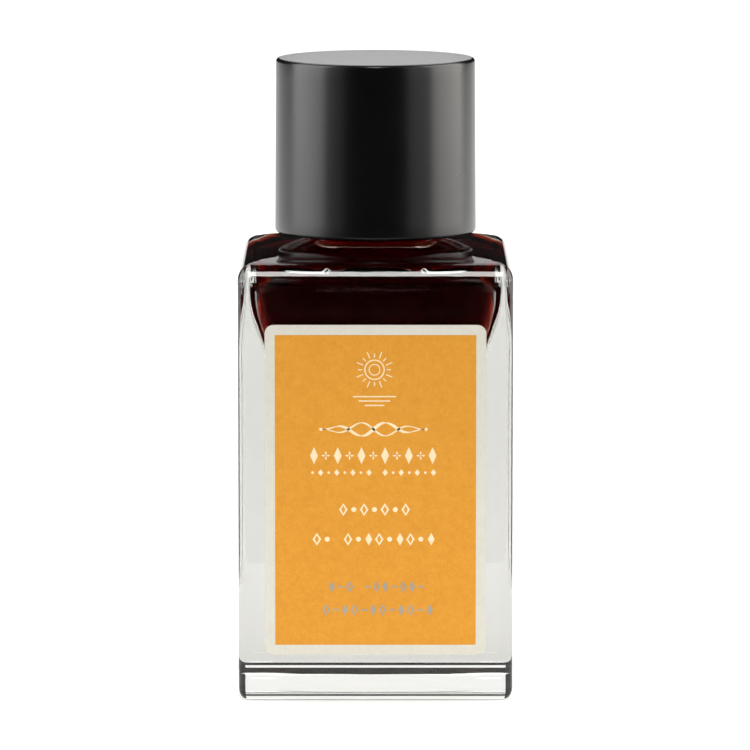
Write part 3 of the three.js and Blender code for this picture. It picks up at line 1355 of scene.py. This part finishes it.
@dataclass(frozen=True)
class WaveFlourish:
    """A swelling double wave with a pearl at each end.

    Attributes:
        height: Height of its middle line, in millimetres.
        left: Where it starts.
        right: Where it ends.
        swing: How far the waves swing up and down in the middle.
        bows: Number of half waves.
        hairline: Half the thinnest width of a line.
        lines: Phase of each line and how much half its width swells.
        steps: Number of parts that a line is cut into.
        pearl_gap: How far beyond the ends the pearls stand.
        pearl_radius: Their radius.
    """

    height: float = 28.0
    left: float = -5.2
    right: float = 5.0
    swing: float = 0.72
    bows: int = 4
    hairline: float = 0.04
    lines: tuple[Point, ...] = ((0.0, 0.2), (math.pi, 0.1))
    steps: int = 72
    pearl_gap: float = 0.25
    pearl_radius: float = 0.17

    def print_on(self, shape: bmesh.types.BMesh, axis: float) -> None:
        """Adds the flourish's flat shapes.

        Args:
            shape: The bmesh that gets them.
            axis: Where the label's middle line lies across.
        """
        for phase, weight in self.lines:
            pairs = []
            for index in range(self.steps + 1):
                share = index / self.steps
                across = axis + self.left + (self.right - self.left) * share
                swell = math.sin(math.pi * share)
                angle = self.bows * math.pi * share + phase
                up = self.height + self.swing * swell * math.sin(angle)
                half = self.hairline + weight * swell * abs(math.cos(angle))
                lower_vert = shape.verts.new((across, 0.0, up - half))
                pairs.append((lower_vert, shape.verts.new((across, 0.0, up + half))))
            lower = [shape.edges.new((a[0], b[0])) for a, b in zip(pairs, pairs[1:])]
            upper = [shape.edges.new((a[1], b[1])) for a, b in zip(pairs, pairs[1:])]
            bmesh.ops.bridge_loops(shape, edges=[*lower, *upper])
        for across in (self.left - self.pearl_gap, self.right + self.pearl_gap):
            disc_mark(shape, (axis + across, self.height), (self.pearl_radius,) * 2, 16)


@dataclass
class FrontLabel:
    """The paper label: a cream sheet, an orange printed panel and a plain geometric ornament.

    All sizes are in millimetres. The marks' sizes are shares of the half height of their row, of
    the half width that a mark has, or of the row's line width.
    """

    corner: float = 0.9
    border: float = 1.02
    panel_corner: float = 0.08
    paper_thickness: float = 0.12
    print_thickness: float = 0.006
    axis: float = -0.1
    widest_mark: float = 0.42
    dash_length: float = 1.6
    dash_corner: float = 0.3
    disc_size: float = 0.4
    lozenge_width: float = 0.8
    frame_stroke: float = 1.3
    petal_length: float = 0.9
    petal_width: float = 0.4
    rows: tuple[OrnamentRow, ...] = (
        OrnamentRow(25.3, 1.75, -6.75, 6.5, 1.2, (Mark.LOZENGE, Mark.CROSS), 0.36),
        OrnamentRow(23.55, 0.7, -6.7, 6.4, 0.82, (Mark.DISC, Mark.LOZENGE), 0.14, (8,)),
        OrnamentRow(19.75, 1.3, -3.7, 3.7, 1.02, (Mark.FRAME, Mark.DISC), 0.18),
        OrnamentRow(16.7, 1.3, -6.4, 6.3, 1.02, (Mark.FRAME, Mark.DISC, Mark.LOZENGE), 0.18, (2,)),
    )
    foil_rows: tuple[OrnamentRow, ...] = (
        OrnamentRow(11.8, 1.2, -4.8, 5.2, 0.94, (Mark.LOZENGE, Mark.DASH, Mark.FRAME), 0.18, (3,)),
        OrnamentRow(9.4, 1.2, -5.4, 6.1, 0.94, (Mark.FRAME, Mark.DASH, Mark.LOZENGE), 0.18),
    )
    low: Vector = field(init=False)
    high: Vector = field(init=False)

    def __post_init__(self) -> None:
        """Takes the sheet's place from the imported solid."""
        self.low, self.high = box_mm("front_label")

    def sheet(
        self, name: str, margin: float, corner: float, front: float, thickness: float
    ) -> bpy.types.Object:
        """Makes a sheet that follows the label's outline.

        Args:
            name: Name of the piece.
            margin: How far it stays inside the label's edge.
            corner: Radius of its corners.
            front: Depth of its front.
            thickness: Its thickness.

        Returns:
            The sheet.
        """
        shape = bmesh.new()
        centre = ((self.low.x + self.high.x) / 2, (self.low.z + self.high.z) / 2)
        size = (self.high.x - self.low.x - 2 * margin, self.high.z - self.low.z - 2 * margin)
        flat_sheet(shape, centre, size, corner)
        thicken(shape, front, thickness)
        return finish_mesh(shape, name, smooth=False)

    def set_row(self, shape: bmesh.types.BMesh, row: OrnamentRow) -> None:
        """Sets one row of shapes.

        Args:
            shape: The bmesh that gets them.
            row: The row.
        """
        count = int((row.right - row.left) / row.step + 0.5)
        step = (row.right - row.left) / count
        for index in range(count):
            if index in row.gaps:
                continue
            centre = (self.axis + row.left + (index + 0.5) * step, row.centre)
            self.set_mark(shape, row.shapes[index % len(row.shapes)], centre, row, step)

    def set_mark(
        self, shape: bmesh.types.BMesh, mark: Mark, centre: Point, row: OrnamentRow, step: float
    ) -> None:
        """Sets one shape.

        Args:
            shape: The bmesh that gets it.
            mark: Which shape.
            centre: Its middle.
            row: The row that it stands in.
            step: Room that it has across.
        """
        half = row.height / 2
        wide = min(half, step * self.widest_mark)
        if mark is Mark.DASH:
            size = (self.dash_length * wide, row.stroke)
            flat_sheet(shape, centre, size, row.stroke * self.dash_corner, 2)
        elif mark is Mark.DISC:
            disc_mark(shape, centre, (half * self.disc_size,) * 2, 16)
        elif mark is Mark.LOZENGE:
            disc_mark(shape, centre, (wide * self.lozenge_width, half), 4)
        elif mark is Mark.FRAME:
            ring_mark(shape, centre, (wide, half), row.stroke * self.frame_stroke, 4)
        else:
            petal = wide / 2
            along, beside = petal * self.petal_length, petal * self.petal_width
            for across, up in ((petal, 0.0), (-petal, 0.0), (0.0, petal), (0.0, -petal)):
                radii = (along, beside) if across else (beside, along)
                disc_mark(shape, (centre[0] + across, centre[1] + up), radii, 4)

    def build(self) -> dict[str, bpy.types.Object]:
        """Makes the sheet, its panel and its two groups of marks.

        Returns:
            The pieces by name.
        """
        # The paper's front lies three print layers behind the solid's, so that the prints fit too.
        back = self.high.y
        front = back - self.paper_thickness + 3 * self.print_thickness
        step = self.print_thickness
        pieces = {
            "paper": self.sheet("label_paper", 0.0, self.corner, front, back - front),
            "panel": self.sheet(
                "label_panel", self.border, self.panel_corner, front - step, step / 2
            ),
        }
        cream = bmesh.new()
        SunEmblem().print_on(cream, self.axis)
        WaveFlourish().print_on(cream, self.axis)
        for row in self.rows:
            self.set_row(cream, row)
        thicken(cream, front - 2 * step, step / 2)
        pieces["cream"] = finish_mesh(cream, "label_cream_ornament", smooth=False)
        foil = bmesh.new()
        for row in self.foil_rows:
            self.set_row(foil, row)
        thicken(foil, front - 2 * step, step / 2)
        pieces["foil"] = finish_mesh(foil, "label_foil_ornament", smooth=False)
        return pieces


# ---------------------------------------------------------------------------
# Cap
# ---------------------------------------------------------------------------


@dataclass
class ScrewCap:
    """The outer shell, the threaded insert pressed into it and the foam wad under its ceiling.

    All sizes are in millimetres. The wad's groove has an inner and an outer side, each given by
    the radii where it starts, of its two control points and where it ends.
    """

    draft: float = 0.13
    wall: float = 1.0
    ceiling: float = 1.2
    top_edge: float = 0.35
    rim_edge: float = 0.45
    ceiling_edge: float = 0.4
    bead_height: float = 0.2
    bead_width: float = 0.5
    bead_offset: float = 1.3
    insert_wall: float = 0.9
    insert_ceiling: float = 1.0
    insert_top_edge: float = 0.2
    insert_foot_edge: float = 0.15
    insert_mouth_edge: float = 0.3
    insert_facets: int = 144
    rib_count: int = 12
    rib_width: float = 0.9
    rib_depth: float = 0.3
    rib_clearance: float = 0.05
    bore_radius: float = 7.5
    thread_height: float = 0.93
    thread_turns: float = 1.5
    thread_start: float = 54.358
    wad_edge: float = 0.2
    groove_depth: float = 0.08
    groove_inside: tuple[float, float, float, float] = (4.3, 4.7, 4.6, 5.1)
    groove_outside: tuple[float, float, float, float] = (5.8, 6.3, 6.2, 6.5)

    def shell(self) -> bpy.types.Object:
        """Makes the outer shell.

        Returns:
            The shell.
        """
        low, high = box_mm("cap_shell")
        rim_radius = (high.x - low.x) / 2
        top_radius = rim_radius - self.draft
        bore = top_radius - self.wall
        rim, top = low.z, high.z
        bead = rim + self.bead_offset
        inside_edge = self.ceiling_edge
        mouth_edge = self.rim_edge / 2
        ceiling = top - self.ceiling
        outline = Profile(0.0, ceiling)
        outline.line(bore - inside_edge, ceiling, steps=2)
        outline.arc((bore - inside_edge, ceiling - inside_edge), (inside_edge,) * 2, 90, 0, steps=5)
        outline.line(bore, bead + self.bead_width / 2, steps=6)
        bead_crest = (bore - 2 * self.bead_height, bead)
        outline.bend([bead_crest], (bore, bead - self.bead_width / 2), steps=8)
        outline.line(bore, rim + mouth_edge)
        outline.arc((bore + mouth_edge, rim + mouth_edge), (mouth_edge,) * 2, 180, 270, steps=6)
        rim_centre = (rim_radius - self.rim_edge, rim + self.rim_edge)
        outline.arc(rim_centre, (self.rim_edge,) * 2, -90, 0, steps=10)
        outline.line(top_radius, top - self.top_edge, steps=16)
        top_centre = (top_radius - self.top_edge, top - self.top_edge)
        outline.arc(top_centre, (self.top_edge,) * 2, 0, 90, steps=10)
        outline.line(0.0, top, steps=6)
        return turn_profile(outline.points, "cap_outer_shell", steps=192)

    def insert(self) -> bpy.types.Object:
        """Makes the threaded insert with the ribs that grip the shell.

        Returns:
            The insert.
        """
        low, high = box_mm("cap_insert")
        outer = self.bore_radius + self.insert_wall
        thread = ScrewThread(self.thread_start, self.thread_turns, self.thread_height)
        count = self.insert_facets
        shell = RingShell(count)
        angles = [2 * math.pi * index / count for index in range(count)]
        bore, top, foot = self.bore_radius, high.z, low.z
        edge = self.insert_top_edge
        outline = Profile(POLE, top).line(outer - edge, top, steps=4)
        outline.arc((outer - edge, top - edge), (edge, edge), 90, 0, steps=4)
        edge = self.insert_foot_edge
        outline.line(outer, foot + edge, steps=10)
        outline.arc((outer - edge, foot + edge), (edge, edge), 0, -90, steps=4)
        edge = self.insert_mouth_edge
        outline.line(bore + edge, foot)
        outline.arc((bore + edge, foot + edge), (edge, edge), -90, -180, steps=5)
        ceiling = top - self.insert_ceiling
        inside = Profile(bore, foot + edge).line(bore, thread.start - 1, steps=6)
        inside.line(bore, thread.start + thread.turns * thread.pitch + 1, steps=60)
        inside.line(bore, ceiling, steps=4).line(POLE, ceiling, steps=6)
        for radius, height in outline.points:
            shell.add(Vector((radius * math.cos(a), radius * math.sin(a), height)) for a in angles)
        for radius, height in inside.points[1:]:
            ring = []
            for angle in angles:
                on_bore = radius > bore - SAME_PLACE
                reach = radius - (thread.relief(angle, height) if on_bore else 0.0)
                ring.append(Vector((reach * math.cos(angle), reach * math.sin(angle), height)))
            shell.add(ring)
        self.add_ribs(shell.shape, outer, high)
        return shell.close("cap_threaded_insert")

    def add_ribs(self, shape: bmesh.types.BMesh, outer: float, high: Vector) -> None:
        """Adds the upright ribs around the insert.

        Args:
            shape: The bmesh that gets them.
            outer: Radius of the insert's wall.
            high: Highest corner of the insert's box, whose X is the ribs' reach.
        """
        shell_low = box_mm("cap_shell")[0].z
        foot = shell_low + self.bead_offset + self.bead_width / 2 + self.rib_clearance
        top = high.z - self.insert_ceiling / 2
        root = outer - self.rib_depth
        for index in range(self.rib_count):
            turn = Matrix.Rotation(2 * math.pi * index / self.rib_count, 4, "Z")
            place = Matrix.Translation(((root + high.x) / 2, 0.0, (foot + top) / 2))
            size = Matrix.Diagonal((high.x - root, self.rib_width, top - foot, 1.0))
            bmesh.ops.create_cube(shape, size=1.0, matrix=turn @ place @ size)

    def wad(self) -> bpy.types.Object:
        """Makes the foam wad, with the shallow groove that the bottle's lip has pressed into it.

        Returns:
            The wad.
        """
        low, high = box_mm("sealing_wad")
        radius = (high.x - low.x) / 2
        edge = self.wad_edge
        face, deep = low.z, low.z + self.groove_depth
        start, leaving, arriving, end = self.groove_inside
        outline = Profile(0.0, face).line(start, face, steps=4)
        outline.bend([(leaving, face), (arriving, deep)], (end, deep), steps=5)
        start, leaving, arriving, end = self.groove_outside
        outline.line(start, deep)
        outline.bend([(leaving, deep), (arriving, face)], (end, face), steps=5)
        outline.line(radius - edge, face)
        outline.arc((radius - edge, face + edge), (edge, edge), -90, 0, steps=5)
        outline.arc((radius - edge, high.z - edge), (edge, edge), 0, 90, steps=5)
        outline.line(0.0, high.z, steps=4)
        return turn_profile(outline.points, "foam_wad", steps=96)


# ---------------------------------------------------------------------------
# Studio
# ---------------------------------------------------------------------------


@dataclass(frozen=True)
class SoftBox:
    """A rectangular soft light.

    Attributes:
        name: Name of the light.
        place: Its middle, in metres.
        aim: The point that it faces.
        width: Its width in metres.
        height: Its height in metres.
        radiance: How bright its face is, where 1 is white in the picture.
        colour: Its colour.
        mirrored: Whether shiny surfaces mirror it; a light that only shines through is flagged off.
    """

    name: str
    place: tuple[float, float, float]
    aim: tuple[float, float, float]
    width: float
    height: float
    radiance: float
    colour: str = "#FFFFFF"
    mirrored: bool = True

    def make(self) -> None:
        """Makes the light."""
        data = bpy.data.lights.new(self.name, "AREA")
        data.shape = "RECTANGLE"
        data.size, data.size_y = self.width, self.height
        data.color = linear(self.colour)[:3]
        data.energy = self.radiance * self.width * self.height * math.pi
        light = bpy.data.objects.new(self.name, data)
        light.location = self.place
        towards = Vector(self.aim) - Vector(self.place)
        light.rotation_euler = towards.to_track_quat("-Z", "Y").to_euler()
        light.visible_camera = False
        light.visible_glossy = self.mirrored
        bpy.context.scene.collection.objects.link(light)


@dataclass
class Studio:
    """The pale floor, the soft lights and the camera.

    The sizes of the floor and the camera's place are in millimetres, its tilt in degrees.
    """

    camera_distance: float = 600.0
    camera_height: float = 113.6
    camera_tilt: float = 7.60
    camera_side: float = -0.05
    lens: float = 286.4
    sensor: float = 36.0
    floor_half: float = 1500.0
    floor_middle: float = 1400.0
    floor_level: float = -0.05
    world_strength: float = 0.012
    lights: tuple[SoftBox, ...] = (
        SoftBox("left_softbox", (-0.6, -0.06, 0.26), (0.0, 0.0, 0.03), 0.6, 0.6, 4.6),
        SoftBox("right_softbox", (0.6, 0.03, 0.26), (0.0, 0.0, 0.03), 0.66, 0.6, 4.8, "#FFFDF7"),
        SoftBox("left_fill", (-0.46, -0.39, 0.26), (0.0, 0.0, 0.03), 0.3, 0.6, 0.7),
        SoftBox("right_fill", (0.46, -0.39, 0.26), (0.0, 0.0, 0.03), 0.3, 0.6, 1.1),
        SoftBox("hair_light", (0.0, 0.16, 0.115), (0.0, 0.0, 0.075), 0.036, 0.08, 1.3),
        SoftBox("low_strip", (0.0, 0.35, 0.13), (0.0, 0.0, 0.13), 0.07, 0.17, 1.8, mirrored=False),
        SoftBox("overhead_softbox", (0.0, 1.0, 1.3), (0.0, 0.8, 0.0), 1.6, 1.3, 2.6),
        SoftBox("front_strip", (0.0, -0.74, 0.72), (0.0, 0.0, 0.03), 0.12, 0.5, 13.0),
    )

    def floor(self) -> bpy.types.Object:
        """Makes the floor, which ends just in front of the object.

        Returns:
            The floor.
        """
        shape = bmesh.new()
        place = Matrix.Translation((0.0, self.floor_middle, self.floor_level))
        bmesh.ops.create_grid(
            shape, x_segments=2, y_segments=2, size=self.floor_half, matrix=place
        )
        return finish_mesh(shape, "studio_floor", smooth=False)

    def camera(self) -> None:
        """Makes the camera, in front and slightly above, looking down."""
        front = box_mm("glass_bottle")[0].y
        data = bpy.data.cameras.new("camera")
        data.lens = self.lens
        data.sensor_width = self.sensor
        data.clip_start, data.clip_end = 0.01, 20.0
        camera = bpy.data.objects.new("camera", data)
        place = Vector((self.camera_side, front - self.camera_distance, self.camera_height))
        camera.location = place * MM
        camera.rotation_euler = (math.radians(90 - self.camera_tilt), 0.0, 0.0)
        bpy.context.scene.collection.objects.link(camera)
        bpy.context.scene.camera = camera

    def build(self) -> None:
        """Sets up the whole studio."""
        floor = self.floor()
        floor.data.materials.append(OpalAcrylic().make())
        for light in self.lights:
            light.make()
        self.camera()
        world = bpy.data.worlds.new("dark_studio")
        world.use_nodes = True
        background = world.node_tree.nodes["Background"]
        background.inputs["Color"].default_value = linear("#FFFFFF")
        background.inputs["Strength"].default_value = self.world_strength
        bpy.context.scene.world = world
        bpy.context.scene.view_settings.view_transform = "Standard"
        LOG.info("studio: %d lights", len(self.lights))


# ---------------------------------------------------------------------------
# Assembly
# ---------------------------------------------------------------------------


def main() -> None:
    """Builds and dresses every piece, then the studio."""
    logging.basicConfig(level=logging.INFO, format="%(name)s %(message)s")
    bottle = GlassBottle()
    ink = InkFill(bottle)
    flacon = bottle.build(ink.film_top)
    dress(flacon, FlintGlass().make(), "bottle", ["glass_bottle"])
    dress(ink.build(), AmberInk().make(), "bottle", ["ink"])

    label = FrontLabel().build()
    cream = UncoatedPaper("uncoated_cream_paper", "#DCDACF", "#D3D0C4")
    orange = UncoatedPaper("orange_flood_print", "#E49F38", "#D6902B", mottle_mm=0.9)
    dress(label["paper"], cream.make(), "bottle", ["front_label"])
    dress(label["panel"], orange.make(), "bottle")
    cream_ink = UncoatedPaper("cream_screen_print", "#F8E6C2", "#F2DBAE", fibre_mm=0.15)
    dress(label["cream"], cream_ink.make(), "bottle")
    dress(label["foil"], StampedFoil().make(), "bottle")

    cap = ScrewCap()
    satin = MouldedPlastic("satin_black_abs", "#040405", 0.26)
    dress(cap.shell(), satin.make(), "cap", ["cap_shell"])
    liner = MouldedPlastic("black_polypropylene", "#151516", 0.5)
    dress(cap.insert(), liner.make(), "cap", ["cap_insert"])
    dress(cap.wad(), ClosedCellFoam().make(), "seal", ["sealing_wad"])

    Studio().build()


if __name__ == "__main__":
    main()
